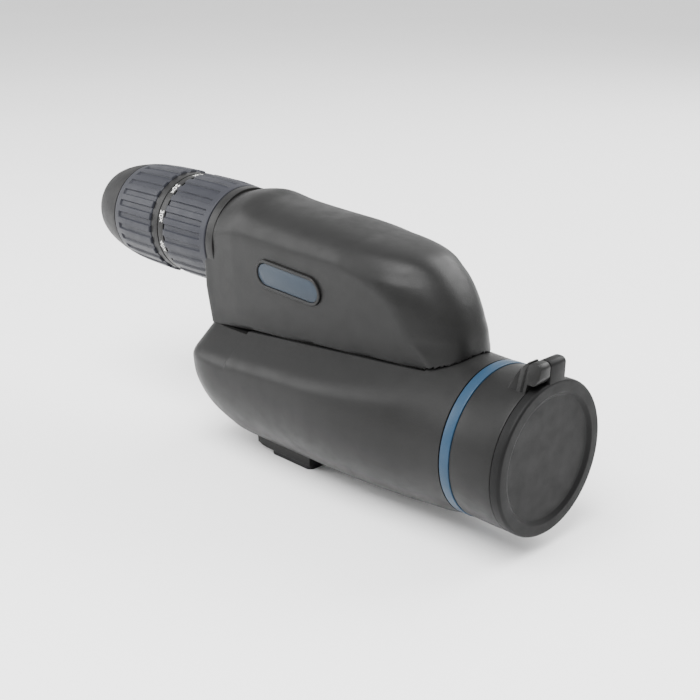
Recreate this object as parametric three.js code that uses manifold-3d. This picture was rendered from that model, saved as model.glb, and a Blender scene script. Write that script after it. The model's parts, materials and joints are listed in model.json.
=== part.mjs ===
// Compact angled-body spotting scope with a straight zoom eyepiece and a sprung flip-up objective cap.
// Millimetres, +Z up. The origin is the middle of the tripod foot's face, +X points at the target.
// Everything is modelled in the optical frame first: x runs along the objective axis, with x = 0 at the
// front of the closed cap, and z = 0 on that axis. The scope group then moves it into the part's frame.
import * as THREE from "three";
import { mergeVertices } from "three/addons/utils/BufferGeometryUtils.js";
import Module from "manifold-3d";

const wasm = await Module();
wasm.setup();

// ---------- driving dimensions ----------
const FOOT_X = -152.5; // middle of the foot, along the objective axis
const FOOT_FACE_Z = -46; // underside of the foot
const EYE_Z = 64; // height of the eyepiece axis above the objective axis
const GAP = 0.3; // clearance between pieces that touch
const WALL = 3.2; // wall of the upper housing

const BORE_R = 33.9; // bore of the bell, the accent ring and the housing's front end
const CAP_SEAM_X = -4.9;
const BELL_BACK_X = -27.9;
const BAND_BACK_X = -33.8;

const DECK_FRONT = { x: -53, z: 32, waist: 20 }; // the ledge between the two housings, at its front end
const DECK_BACK = { x: -210, z: 20, waist: 25 };
const LEDGE = 1.5; // how far the deck shows past the upper housing's side
const STERN = { x: -224, length: 46 };
const NOSE_STEP_X = -58; // the barrel is fully round in front of this

const PIN = { x: -3.4, z: 42.6, r: 1.1 }; // flip cap hinge pin, along Y

// ---------- shared geometry helpers ----------
// Merges a geometry's vertices and turns it the right way out, so that it is one closed solid.
function solid(geometry) {
  const bare = geometry.index ? geometry.toNonIndexed() : geometry.clone();
  bare.deleteAttribute("normal");
  bare.deleteAttribute("uv");
  const merged = mergeVertices(bare, 1e-4);
  const build = (triVerts) =>
    new wasm.Manifold(
      new wasm.Mesh({ numProp: 3, vertProperties: merged.attributes.position.array, triVerts }),
    );
  const made = build(new Uint32Array(merged.index.array));
  if (made.volume() > 0) return made;
  const turned = new Uint32Array(merged.index.array);
  for (let i = 0; i < turned.length; i += 3) {
    [turned[i + 1], turned[i + 2]] = [turned[i + 2], turned[i + 1]];
  }
  return build(turned);
}

function toGeometry(manifold) {
  const mesh = manifold.getMesh();
  const positions = new Float32Array(mesh.numVert * 3);
  for (let i = 0; i < mesh.numVert; i++) {
    for (let k = 0; k < 3; k++) positions[3 * i + k] = mesh.vertProperties[mesh.numProp * i + k];
  }
  const geometry = new THREE.BufferGeometry();
  geometry.setAttribute("position", new THREE.BufferAttribute(positions, 3));
  geometry.setIndex(new THREE.BufferAttribute(mesh.triVerts, 1));
  const flat = geometry.toNonIndexed();
  flat.computeVertexNormals();
  return flat;
}

// A closed outline of [x, radius] points, turned about the X axis raised to height z.
function turned(outline, z = 0, segments = 28) {
  const points = [...outline, outline[0]].map(([x, r]) => new THREE.Vector2(r, x));
  const geometry = new THREE.LatheGeometry(points, segments);
  geometry.rotateZ(-Math.PI / 2);
  geometry.translate(0, 0, z);
  return solid(geometry);
}

const tube = (x0, x1, outer, inner, z = 0, segments = 28) =>
  turned([[x0, inner], [x0, outer], [x1, outer], [x1, inner]], z, segments);

const rod = (x0, x1, r, z = 0, segments = 28) => turned([[x0, 0], [x0, r], [x1, r], [x1, 0]], z, segments);

function block(x0, x1, y0, y1, z0, z1) {
  const geometry = new THREE.BoxGeometry(x1 - x0, y1 - y0, z1 - z0);
  geometry.translate((x0 + x1) / 2, (y0 + y1) / 2, (z0 + z1) / 2);
  return solid(geometry);
}

// A side outline of [x, z] points, extruded along Y from y0 to y1.
function slab(outline, y0, y1) {
  const shape = new THREE.Shape(outline.map(([x, z]) => new THREE.Vector2(x, z)));
  const options = { depth: y1 - y0, bevelEnabled: false, curveSegments: 6 };
  const geometry = new THREE.ExtrudeGeometry(shape, options);
  geometry.rotateX(Math.PI / 2);
  geometry.translate(0, y1, 0);
  return solid(geometry);
}

function upright(x, y, z0, z1, r, segments = 20) {
  const geometry = new THREE.CylinderGeometry(r, r, z1 - z0, segments);
  geometry.rotateX(Math.PI / 2);
  geometry.translate(x, y, (z0 + z1) / 2);
  return solid(geometry);
}

function crosswise(x, z, y0, y1, r, segments = 16) {
  const geometry = new THREE.CylinderGeometry(r, r, y1 - y0, segments);
  geometry.translate(x, (y0 + y1) / 2, z);
  return solid(geometry);
}

// Rings of points, all with the same count, skinned into one closed solid with a fan at each end.
function skinned(rings) {
  const n = rings[0].length;
  const positions = rings.flat(2);
  const index = [];
  for (let i = 0; i + 1 < rings.length; i++) {
    for (let j = 0; j < n; j++) {
      const a = i * n + j;
      const b = i * n + ((j + 1) % n);
      index.push(a, b, b + n, a, b + n, a + n);
    }
  }
  for (const [start, flip] of [[0, true], [(rings.length - 1) * n, false]]) {
    const centre = positions.length / 3;
    const mid = [0, 1, 2].map((k) => {
      let sum = 0;
      for (let j = 0; j < n; j++) sum += positions[3 * (start + j) + k];
      return sum / n;
    });
    positions.push(...mid);
    for (let j = 0; j < n; j++) {
      const a = start + j;
      const b = start + ((j + 1) % n);
      index.push(...(flip ? [b, a, centre] : [a, b, centre]));
    }
  }
  const geometry = new THREE.BufferGeometry();
  geometry.setAttribute("position", new THREE.Float32BufferAttribute(positions, 3));
  geometry.setIndex(index);
  return solid(geometry);
}

// A smooth curve through [at, value] pairs that never overshoots them.
function profile(pairs) {
  const n = pairs.length;
  const slope = pairs.slice(1).map(([x, y], i) => (y - pairs[i][1]) / (x - pairs[i][0]));
  const tangent = pairs.map((_, i) => {
    if (i === 0 || i === n - 1) return slope[Math.min(i, n - 2)];
    const [a, b] = [slope[i - 1], slope[i]];
    return a * b <= 0 ? 0 : (2 * a * b) / (a + b);
  });
  return (x) => {
    const at = Math.min(Math.max(x, pairs[0][0]), pairs[n - 1][0]);
    let i = 0;
    while (i < n - 2 && at > pairs[i + 1][0]) i++;
    const [x0, y0] = pairs[i];
    const [x1, y1] = pairs[i + 1];
    const h = x1 - x0;
    const t = (at - x0) / h;
    return (
      y0 * (1 + 2 * t) * (1 - t) ** 2 +
      h * tangent[i] * t * (1 - t) ** 2 +
      y1 * t * t * (3 - 2 * t) +
      h * tangent[i + 1] * t * t * (t - 1)
    );
  };
}

// The smaller of two values, with the corner between them rounded over k.
function softMin(a, b, k) {
  const h = Math.min(Math.max(0.5 + (0.5 * (b - a)) / k, 0), 1);
  return b * (1 - h) + a * h - k * h * (1 - h);
}

const lerp = (x, x0, y0, x1, y1) => y0 + ((Math.min(Math.max(x, x0), x1) - x0) / (x1 - x0)) * (y1 - y0);

// ---------- the two housings' surfaces ----------
const deckZ = (x) =>
  DECK_FRONT.z + ((x - DECK_FRONT.x) * (DECK_FRONT.z - DECK_BACK.z)) / (DECK_FRONT.x - DECK_BACK.x);
const waist = (x) => lerp(x, DECK_BACK.x, DECK_BACK.waist, DECK_FRONT.x, DECK_FRONT.waist);

const barrelR = profile([
  [-230, 43.2], [-121, 43.2], [-103, 42.7], [-86, 41.6], [-70, 40.2], [-55, 38.6], [-44, 37.8], [-34, 37.4],
]);
// How much fuller the underside is than the sides and top.
const belly = profile([
  [-170, 0.5], [-123, 0.6], [-100, 0.9], [-78, 1.5], [-60, 2.2], [-46, 2.1], [-34, 0.4],
]);
const SHOULDER_FALL = 0.78; // slope of the shoulder under the ledge
const SHOULDER_ROUND = 3;

// Foot block, moulded under the lower housing: its depth along x, and its half width.
const FOOT_HALF_WIDTH = 20.5;
const FOOT_FRONT_X = -137;
const footDepth = profile([
  [-190, 20], [-187, 35.3], [-182, 39.9], [-175.8, 42.9], [-171, 43.7], [-137, 43.7],
]);

// Lower housing: distance from the objective axis, at x, in the direction that points up from +Y by angle a.
function lowerR(x, a) {
  const c = Math.abs(Math.cos(a));
  const s = Math.sin(a);
  let r = barrelR(x) + belly(x) * Math.min(s, 0) ** 2;
  const fall = s + c * SHOULDER_FALL;
  if (fall > 0.05) {
    const shoulder = (deckZ(x) + (waist(x) + LEDGE) * SHOULDER_FALL) / fall;
    r = softMin(r, Math.min(shoulder, r + 40), SHOULDER_ROUND);
  }
  if (s < 0 && x <= FOOT_FRONT_X) {
    const foot = Math.min(FOOT_HALF_WIDTH / Math.max(c, 1e-6), footDepth(x) / -s);
    r = -softMin(-r, -foot, 1);
  }
  return r;
}

// Height of the upper housing's crown above the eyepiece axis.
const topRise = profile([
  [-214, 25.6], [-204, 26.1], [-195, 28.3], [-187, 29.2], [-176, 27.2], [-166, 26.1], [-155, 25.4],
  [-137, 24.5],
  [-102, 23.1], [-80, 22.3], [-40, 22.3],
]);
const SIDE_TOP = 6; // the side walls are widest this far above the eyepiece axis
const sideWidth = (x) => lerp(x, -206, 26.9, -188, 28);
const crownExtra = (x) => lerp(x, -206, 0.2, -178, 1.2); // the crown's extra half width over the sides
const crownPower = (x) => lerp(x, -206, 2, -178, 2.5); // 2 is a circle, higher is squarer
const CORE = { x: -88, z: 55 }; // the upper housing is star shaped about this line and its front end

// The nose, by height: where its tip is, how far behind that it meets the side walls, and how blunt it is.
const noseTip = profile([
  [30, -43.8], [38, -44.1], [45, -45.1], [53, -47.3], [59, -50], [64, -53.2], [69, -57.2], [74, -62.3],
  [78, -68],
  [81, -74.5], [83.5, -84], [85.2, -94], [86.7, -106], [88.2, -120], [91, -145],
]);
const noseDepth = profile([
  [30, 9], [38, 15], [45, 21], [53, 23.3], [61, 24.2], [69, 27], [74, 32], [90, 34],
]);
const nosePower = profile([[30, 3.4], [45, 3.3], [53, 2.8], [61, 2.6], [90, 2.6]]);
const noseRound = profile([[30, 0.5], [60, 1.5], [70, 5], [78, 9], [90, 10]]);

function wallWidth(x, z) {
  const lean = (sideWidth(x) - waist(x)) / (EYE_Z + SIDE_TOP - deckZ(x));
  return sideWidth(x) - lean * (EYE_Z + SIDE_TOP - z);
}

// Roughly how many millimetres a point is outside the upper housing's surface; negative inside.
function upperOutside(x, y, z) {
  const side = Math.abs(y);
  const wall = side - wallWidth(x, z);
  const power = crownPower(x);
  const over = Math.max(z - EYE_Z, 0) / topRise(x);
  const reach = ((side / (sideWidth(x) + crownExtra(x))) ** power + over ** power) ** (1 / power);
  const body = -softMin(-wall, -28 * (reach - 1), 1.2);
  const [width, depth, bluntness] = [wallWidth(Math.max(x, -100), z), noseDepth(z), nosePower(z)];
  const share = side / width;
  const tip = noseTip(z);
  const slopeY = (bluntness * depth * share ** (bluntness - 1)) / width;
  const slopeZ = noseTip(z + 0.5) - noseTip(z - 0.5);
  const nose = (x - tip + depth * share ** bluntness) / Math.hypot(1, slopeY, slopeZ);
  return -softMin(-body, -nose, noseRound(z) * lerp(x, -135, 0.01, -105, 1));
}

// How far the upper housing's surface is from a point of its core, along a unit direction.
function upperReach(from, direction) {
  let [inside, outside] = [0, 140];
  for (let i = 0; i < 40; i++) {
    const r = (inside + outside) / 2;
    const [x, y, z] = from.map((v, k) => v + r * direction[k]);
    if (upperOutside(x, y, z) < 0) inside = r;
    else outside = r;
  }
  return inside;
}

// The rear face leans forward below this height.
const RAKE = { z: 40, slope: 0.2, fadeX: -200 };
const raked = (x, z) => x + RAKE.slope * Math.max(RAKE.z - z, 0) * lerp(x, -213.6, 1, RAKE.fadeX, 0);

const LOW_Z = 12; // the upper housing's skin is made down to here, then trimmed on the deck

// The upper housing's outside pulled in by `inset`, from x0 forward round the nose.
function upperSolid(x0, inset, columns, rows) {
  const angles = Array.from({ length: columns }, (_, j) => (2 * Math.PI * j) / columns);
  const ring = (from, cosine, sine) =>
    angles.map((a) => {
      const direction = [cosine, sine * Math.cos(a), sine * Math.sin(a)];
      let reach = upperReach(from, direction) - inset;
      if (direction[2] < -0.05) reach = Math.min(reach, (CORE.z - LOW_Z) / -direction[2]);
      const [x, y, z] = from.map((v, k) => v + reach * direction[k]);
      return [raked(x, z), y, z];
    });
  const rings = [];
  for (let i = 0; i <= rows; i++) rings.push(ring([x0 + ((CORE.x - x0) * i) / rows, 0, CORE.z], 0, 1));
  for (let i = 1; i <= rows; i++) {
    const turn = (Math.PI / 2) * (1 - i / (rows + 0.5));
    rings.push(ring([CORE.x, 0, CORE.z], Math.cos(turn), Math.sin(turn)));
  }
  return skinned(rings);
}

// Everything above the deck's plane, lifted by `lift`.
const aboveDeck = (lift) =>
  slab([[-300, deckZ(-300) + lift], [0, deckZ(0) + lift], [0, 160], [-300, 160]], -80, 80);

// The stern closes as a superellipse whose power depends on the direction: round below, square above.
const sternPower = profile([[-90, 2], [-45, 2.03], [-30, 2.5], [-17, 3], [0, 4], [12, 4.6], [90, 5]]);
const sternReach = profile([[-43, 1], [-26, 0.99], [-10, 0.92], [4, 0.86], [40, 0.86]]); // by height
function sternFactor(share, a) {
  const power = sternPower((Math.asin(Math.sin(a)) * 180) / Math.PI);
  return (1 - share ** power) ** (1 / power);
}

function lowerSolid(columns) {
  const angles = Array.from({ length: columns }, (_, j) => (2 * Math.PI * (j + 0.5)) / columns);
  const footCorner = Math.atan(FOOT_HALF_WIDTH / footDepth(FOOT_FRONT_X));
  for (const turn of [-footCorner - 0.06, -footCorner, -footCorner + 0.04]) {
    angles.push(1.5 * Math.PI + turn, 1.5 * Math.PI - turn);
  }
  angles.sort((a, b) => a - b);
  const ring = (x, at, share) => angles.map((a) => {
    const r = lowerR(at, a) * sternFactor(share, a);
    const z = r * Math.sin(a);
    return [x - STERN.length * share * sternReach(z), r * Math.cos(a), z];
  });
  const rings = [];
  const sternX = STERN.x + STERN.length;
  for (const turn of [88, 82, 73, 62, 50, 36, 20]) {
    const share = Math.sin((turn * Math.PI) / 180);
    rings.push(ring(sternX, -200, share));
  }
  const stations = [
    sternX, -174, -168, -150, FOOT_FRONT_X, FOOT_FRONT_X + 0.2, -120, -103, -86, -70, -55, -44,
    BAND_BACK_X - GAP,
  ];
  for (const x of stations) rings.push(ring(x, x, 0));
  return skinned(rings);
}

// ---------- pieces ----------
const scope = new THREE.Group();
scope.position.set(-FOOT_X, 0, -FOOT_FACE_Z);

const finishes = {
  armour: { color: 0x3a3a3a, roughness: 0.62, metalness: 0 },
  black_metal: { color: 0x2c2b2a, roughness: 0.45, metalness: 0.6 },
  blue: { color: 0x2f5f8a, roughness: 0.4, metalness: 0.5 },
  grip: { color: 0x4b4c55, roughness: 0.7, metalness: 0 },
  cap: { color: 0x2b2b2b, roughness: 0.6, metalness: 0 },
  steel: { color: 0x9a9ca0, roughness: 0.35, metalness: 1 },
  brass: { color: 0xb08d4a, roughness: 0.35, metalness: 1 },
  glass: { color: 0xa8c8c0, roughness: 0.05, metalness: 0 },
  badge: { color: 0x4f6478, roughness: 0.4, metalness: 0.3 },
};

function add(name, manifold, finish) {
  const mesh = new THREE.Mesh(toGeometry(manifold), new THREE.MeshStandardMaterial(finishes[finish]));
  mesh.name = name;
  scope.add(mesh);
}

// Lower housing: a boat-shaped shell with a flat, slightly rising deck that the upper housing sits on.
const INSERT = { x: FOOT_X + 6, r: 4.6, bore: 3.2, top: -35.5 }; // tripod thread
const LOCATING_HOLE = { x: FOOT_X - 8, r: 2.4 };
const PLATE = { x0: -168, x1: FOOT_FRONT_X, halfWidth: 20, top: -44 };
const SCREW = { xs: [-163.5, -141.5], y: 15, head: 2.6, shank: 1.2, top: -39.5 };
const screwSpots = SCREW.xs.flatMap((x) => [[x, -SCREW.y], [x, SCREW.y]]);
const HULL_BORE = 29.5; // inside radius of the lower housing
const CELL_BACK_X = -60;

let lower = lowerSolid(44)
  .subtract(aboveDeck(0).intersect(block(-300, NOSE_STEP_X, -80, 80, -10, 90)))
  .subtract(turned([
    [-204, 0], [-204, 20], [-196, HULL_BORE], [-63, HULL_BORE], [CELL_BACK_X, BORE_R], [0, BORE_R], [0, 0],
  ]))
  .subtract(block(-203, -84, -17, 17, 0, 60))
  .subtract(block(-320, PLATE.x1 + 5, -30, 30, -60, PLATE.top + GAP))
  .subtract(upright(INSERT.x, 0, -50, INSERT.top + GAP, INSERT.r + GAP))
  .subtract(upright(LOCATING_HOLE.x, 0, -50, -39, LOCATING_HOLE.r, 16));
for (const [x, y] of screwSpots) {
  lower = lower.subtract(upright(x, y, -50, SCREW.top + GAP, SCREW.shank + GAP, 10));
}
add("lower_housing", lower, "armour");

// Tripod foot: a metal wear plate on the moulded block, a threaded insert and countersunk screws.
const outline = new THREE.Shape();
const [px, py, corner] = [(PLATE.x1 - PLATE.x0) / 2, PLATE.halfWidth, 3];
for (const [sx, sy, a] of [[1, -1, -0.5], [1, 1, 0], [-1, 1, 0.5], [-1, -1, 1]]) {
  outline.absarc(sx * (px - corner), sy * (py - corner), corner, a * Math.PI, (a + 0.5) * Math.PI);
}
const plateGeometry = new THREE.ExtrudeGeometry(outline, {
  depth: PLATE.top - FOOT_FACE_Z,
  bevelEnabled: false,
  curveSegments: 4,
});
plateGeometry.translate((PLATE.x0 + PLATE.x1) / 2, 0, FOOT_FACE_Z);
let footPlate = solid(plateGeometry)
  .subtract(upright(INSERT.x, 0, -50, -40, INSERT.r + GAP))
  .subtract(upright(LOCATING_HOLE.x, 0, -50, -40, LOCATING_HOLE.r, 16));
const screwHead = (x, y, grow) =>
  upright(x, y, FOOT_FACE_Z + 0.4 - 2 * grow, FOOT_FACE_Z + 1.4 + grow, SCREW.head + grow, 12);
for (const [x, y] of screwSpots) {
  footPlate = footPlate
    .subtract(screwHead(x, y, GAP))
    .subtract(upright(x, y, -50, -40, SCREW.shank + GAP, 10));
}
add("foot_plate", footPlate, "black_metal");
screwSpots.forEach(([x, y], i) => {
  const socket = upright(x, y, FOOT_FACE_Z - 1, FOOT_FACE_Z + 1, 1.1, 6);
  const shank = upright(x, y, FOOT_FACE_Z + 1, SCREW.top, SCREW.shank, 10);
  add(`foot_screw_${i + 1}`, screwHead(x, y, 0).add(shank).subtract(socket), "steel");
});
const insert = upright(INSERT.x, 0, FOOT_FACE_Z + 0.2, INSERT.top, INSERT.r)
  .subtract(upright(INSERT.x, 0, -50, INSERT.top - 1.2, INSERT.bore, 32));
add("tripod_thread_insert", insert, "brass");

// Upper housing: a shell open underneath, with a hole in its rear wall for the eyepiece.
const UPPER_BACK_X = -213.6;
const REAR_WALL_X = -200;
const COLLAR = { x0: -210.3, x1: -204.3, r: 27.4 };
const GRIP_END_R = 28.6; // the upper housing wraps the end of the zoom grip at this radius
const EYE_PORT_R = 24;
const upper = upperSolid(UPPER_BACK_X, 0, 44, 11)
  .intersect(aboveDeck(GAP))
  .subtract(rod(NOSE_STEP_X - 1, 0, 38.9 + GAP, 0, 44))
  .subtract(upperSolid(REAR_WALL_X, WALL, 28, 7))
  .subtract(rod(UPPER_BACK_X - 10, COLLAR.x1 + GAP, COLLAR.r + GAP, EYE_Z, 40))
  .subtract(rod(UPPER_BACK_X - 10, COLLAR.x0, GRIP_END_R, EYE_Z, 40))
  .subtract(rod(UPPER_BACK_X - 10, REAR_WALL_X + 5, EYE_PORT_R, EYE_Z));
add("upper_housing", upper, "armour");

// Badge: a blank pill-shaped plate in a raised bezel on the right side wall.
function pill(halfLength, halfHeight, depth) {
  const straight = halfLength - halfHeight;
  const shape = new THREE.Shape();
  shape.absarc(straight, 0, halfHeight, -Math.PI / 2, Math.PI / 2);
  shape.absarc(-straight, 0, halfHeight, Math.PI / 2, (3 * Math.PI) / 2);
  const geometry = new THREE.ExtrudeGeometry(shape, { depth, bevelEnabled: false, curveSegments: 8 });
  geometry.rotateX(Math.PI / 2);
  return geometry;
}
const BADGE = { x: -145.4, z: 56.6, tilt: 0.061, halfLength: 23.5, halfHeight: 7.8, rim: 1.8 };
const wallY = wallWidth(BADGE.x, BADGE.z);
const wallSlope = wallWidth(BADGE.x, BADGE.z + 1) - wallY;
// Places a pill that was extruded towards -Y so that its foot is `off` outside the wall.
function onWall(geometry, off) {
  geometry.rotateY(BADGE.tilt);
  geometry.rotateX(Math.atan(wallSlope));
  geometry.translate(BADGE.x, -wallY - off, BADGE.z);
  return solid(geometry);
}
const inner = { length: BADGE.halfLength - BADGE.rim, height: BADGE.halfHeight - BADGE.rim };
add(
  "badge_bezel",
  onWall(pill(BADGE.halfLength, BADGE.halfHeight, 1.4), 0.4).subtract(
    onWall(pill(inner.length, inner.height, 6), -2),
  ),
  "black_metal",
);
add("badge_plate", onWall(pill(inner.length - GAP, inner.height - GAP, 0.6), 0.4), "badge");

// ---------- objective end ----------
const ringX = { front: BELL_BACK_X - GAP, back: BAND_BACK_X + GAP };
add("accent_ring", tube(ringX.back, ringX.front, 37.6, BORE_R, 0, 44), "blue");

// The bell carries the hinge bracket: a flared block with one knuckle, pocketed for the cap's knuckle.
const BELL_R = 37.4;
// The knuckles' round and front face are measured from the pin.
const KNUCKLE = { r: 4.9, y0: -11, split: -4.6, y1: 6.8, front: 3.7, sharp: 3.3 };
const SWING_R = 6.2;

// A knuckle's side outline: round behind the pin down to the given angle, then its foot and a square front.
function knuckleOutline(sweepDeg, foot) {
  const { r, front, sharp } = KNUCKLE;
  const round = Array.from({ length: 9 }, (_, i) => {
    const a = ((90 + ((sweepDeg - 90) * i) / 8) * Math.PI) / 180;
    return [PIN.x + r * Math.cos(a), PIN.z + r * Math.sin(a)];
  });
  return [...round, ...foot, [PIN.x + front, PIN.z + sharp], [PIN.x + front - 1.6, PIN.z + r]];
}
const fixedFoot = [
  [PIN.x - KNUCKLE.r, 34], [-5.1, 34], [-5.1, 37.9], [-1.6, 37.9], [PIN.x + KNUCKLE.front, 41],
];
const fixedKnuckle = slab(knuckleOutline(180, fixedFoot), KNUCKLE.y0 - 3, KNUCKLE.split);
const fairing = slab(
  [[-16, 30], [-13.5, 38], [-9.2, 45.6], [-6, 47.3], [-5.1, 40], [-5.1, 30]],
  KNUCKLE.y0 - 6,
  KNUCKLE.y1 + 6,
);
const flare = new THREE.Shape(
  [[-16, 30], [12, 30], [6.4, 47.5], [-10.6, 47.5]].map(([y, z]) => new THREE.Vector2(y, z)),
);
const flareGeometry = new THREE.ExtrudeGeometry(flare, { depth: 30, bevelEnabled: false });
flareGeometry.rotateX(Math.PI / 2);
flareGeometry.rotateZ(Math.PI / 2);
flareGeometry.translate(-20, 0, 0);
const pocketY = [KNUCKLE.split, KNUCKLE.y1 + 10];
const bracket = fairing
  .subtract(crosswise(PIN.x, PIN.z, ...pocketY, SWING_R, 24))
  .subtract(block(PIN.x - 3, 10, ...pocketY, 20, 60))
  .add(fixedKnuckle)
  .intersect(solid(flareGeometry));
const bell = turned(
  [
    [BELL_BACK_X, BORE_R], [BELL_BACK_X, BELL_R - 0.2], [-15, BELL_R], [CAP_SEAM_X - 0.8, BELL_R - 0.1],
    [CAP_SEAM_X, BELL_R - 0.7], [CAP_SEAM_X, BORE_R],
  ],
  0,
  44,
)
  .add(bracket)
  .subtract(rod(-30, CAP_SEAM_X + 1, BORE_R, 0, 44))
  .subtract(crosswise(PIN.x, PIN.z, KNUCKLE.split, KNUCKLE.y1 + 0.6, KNUCKLE.r + 0.7, 24))
  .subtract(crosswise(PIN.x, PIN.z, KNUCKLE.y0 + 1, 20, PIN.r + 0.05));
add("objective_bell", bell, "cap");

const BUSH = { y0: -4, y1: 2.6, r: 2.6 };

// Flip cap: a shallow dished cover with a spigot that plugs the bell, and its hinge knuckle.
const CAP = { r: 37.4, front: 0.3, back: CAP_SEAM_X + GAP };
const capFoot = [[CAP.back, 37.5], [CAP.back, 33], [CAP.front, 33]];
const capKnuckle = slab(knuckleOutline(250, capFoot), KNUCKLE.split + GAP, KNUCKLE.y1);
const cap = turned(
  [
    [CAP.front, 35.4], [CAP.front, 31.4], [-1.2, 29.8], [-1.2, 0], [-3, 0], [-3, 31], [-7, 31.5], [-7, 33.2],
    [CAP.back, 33.4], [CAP.back, CAP.r], [-0.6, CAP.r], [0.2, CAP.r - 0.8],
  ],
  0,
  44,
)
  .add(capKnuckle.subtract(rod(-10, 5, 35, 0, 44)))
  .subtract(crosswise(PIN.x, PIN.z, -20, 20, PIN.r + 0.06))
  .subtract(crosswise(PIN.x, PIN.z, -20, BUSH.y1 + GAP, BUSH.r + GAP));
add("flip_cap", cap, "cap");
add("cap_liner", rod(-4.5, -3.3, 30.6, 0, 36), "grip");
add("cap_hinge_pin", crosswise(PIN.x, PIN.z, KNUCKLE.y0 + 1.3, KNUCKLE.y1 - 0.3, PIN.r), "steel");

// Split spring bush that grips the pin, so that the cap stays at whatever angle it is left.
add(
  "cap_friction_bush",
  crosswise(PIN.x, PIN.z, BUSH.y0, BUSH.y1, BUSH.r, 20)
    .subtract(crosswise(PIN.x, PIN.z, -20, 20, PIN.r + 0.05, 20))
    .subtract(block(PIN.x, PIN.x + 5, -20, 20, PIN.z - 0.4, PIN.z + 0.4)),
  "brass",
);

// Objective: a cell that joins the bell, the accent ring and the housing, with an achromatic pair.
const LENS_R = 30.5;
add(
  "objective_cell",
  turned(
    [
      [CELL_BACK_X + GAP, 28.5], [CELL_BACK_X + GAP, BORE_R - GAP], [-15, BORE_R - GAP], [-15, LENS_R + GAP],
      [-37, LENS_R + GAP], [-37, 28.5],
    ],
    0,
    36,
  ),
  "black_metal",
);
const frontCurve = [0, 8, 16, 24, LENS_R].map((r) => [-20.2 - (r * r) / 190, r]);
const seamCurve = [LENS_R, 24, 16, 8, 0].map((r) => [-31.5 + (r * r) / 240, r]);
add("objective_front_lens", turned([...frontCurve, ...seamCurve], 0, 28), "glass");
const seam2 = [0, 8, 16, 24, LENS_R].map((r) => [-31.8 + (r * r) / 240, r]);
const backCurve = [LENS_R, 28.2, 16, 8, 0].map((r) => [r > 28 ? -36.7 : -35.2 - (r * r) / 900, r]);
add("objective_rear_lens", turned([...seam2, ...backCurve], 0, 28), "glass");
add("objective_retainer", tube(-24.5, -21.5, LENS_R, 28.6, 0, 36), "black_metal");

// ---------- prisms ----------
const PRISM_Y = 13.8;
const CHEEK = { y0: 14.2, y1: 15.6 };
// Each is a right-angled roof block with its long edge ground flat.
const prismBlock = (outline, x0, x1) =>
  slab(outline, -PRISM_Y, PRISM_Y).intersect(block(x0, x1, -60, 60, -60, 90));
add("rear_prism", prismBlock([[-170, -15.4], [-170, 47.4], [-201.2, 16]], -199, 0), "glass");
const cradle = (sides, base) =>
  slab(sides, -CHEEK.y1, CHEEK.y1).subtract(slab(base, -CHEEK.y0, CHEEK.y0));
add(
  "rear_prism_cradle",
  cradle(
    [[-168.5, -19], [-168.5, 44], [-172, 44], [-196, 24], [-196, 8], [-174, -19]],
    [[-160, -16.2], [-160, 60], [-210, 60], [-210, 10.3], [-205, 10.3], [-172, -16.2]],
  ),
  "black_metal",
);
add("front_prism", prismBlock([[-97, 20], [-97, 77], [-68.5, 48.5]], -100, -71), "glass");
add(
  "front_prism_cradle",
  cradle(
    [[-98.5, 34], [-98.5, 78.6], [-95.5, 78.6], [-76, 58], [-76, 42], [-82, 34]],
    [[-110, 20], [-110, 77.6], [-95, 77.6], [-60, 39], [-60, 20]],
  ),
  "black_metal",
);

// ---------- eyepiece ----------
const BARREL_R = 22.6;
const SLEEVE_R = BARREL_R + GAP;
const GRIP_R = 26.3;
const SCALE = { x0: -251.9, x1: -247.2, r: 27.8 };
const INDEX = { x0: -257.7, x1: -252.3, r: 28 };
const ZOOM_TRAVEL_DEG = 150;
const DRIVE = { x: -232, r: 1.7 };

// The part of a tube between two angles, measured from +Y towards +Z, for cutting slots.
function sector(x0, x1, from, to, r, z) {
  const rim = Array.from({ length: 13 }, (_, i) => ((from + ((to - from) * i) / 12) * Math.PI) / 180);
  const arc = new THREE.Shape([
    new THREE.Vector2(0, 0),
    ...rim.map((a) => new THREE.Vector2(r * Math.cos(a), r * Math.sin(a))),
  ]);
  const geometry = new THREE.ExtrudeGeometry(arc, { depth: x1 - x0, bevelEnabled: false });
  geometry.rotateX(Math.PI / 2);
  geometry.rotateZ(Math.PI / 2);
  geometry.translate(x0, 0, z);
  return solid(geometry);
}
const slot = sector(DRIVE.x - 2.4, DRIVE.x + 2.4, 84, 84 + ZOOM_TRAVEL_DEG + 12, 40, EYE_Z);
add(
  "ocular_barrel",
  turned(
    [
      [-303, 20.4], [-303, BARREL_R], [INDEX.x0, BARREL_R], [INDEX.x0, INDEX.r], [INDEX.x1, INDEX.r],
      [INDEX.x1, BARREL_R], [-200.3, BARREL_R], [-200.3, 20.4],
    ],
    EYE_Z,
    36,
  ).subtract(slot),
  "armour",
);
add(
  "eyepiece_collar",
  turned(
    [
      [COLLAR.x0, SLEEVE_R], [COLLAR.x0, COLLAR.r - 0.4], [COLLAR.x0 + 0.5, COLLAR.r], [COLLAR.x1, COLLAR.r],
      [COLLAR.x1, EYE_PORT_R - GAP], [-200.3, EYE_PORT_R - GAP], [-200.3, SLEEVE_R],
    ],
    EYE_Z,
    40,
  ),
  "armour",
);

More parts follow.
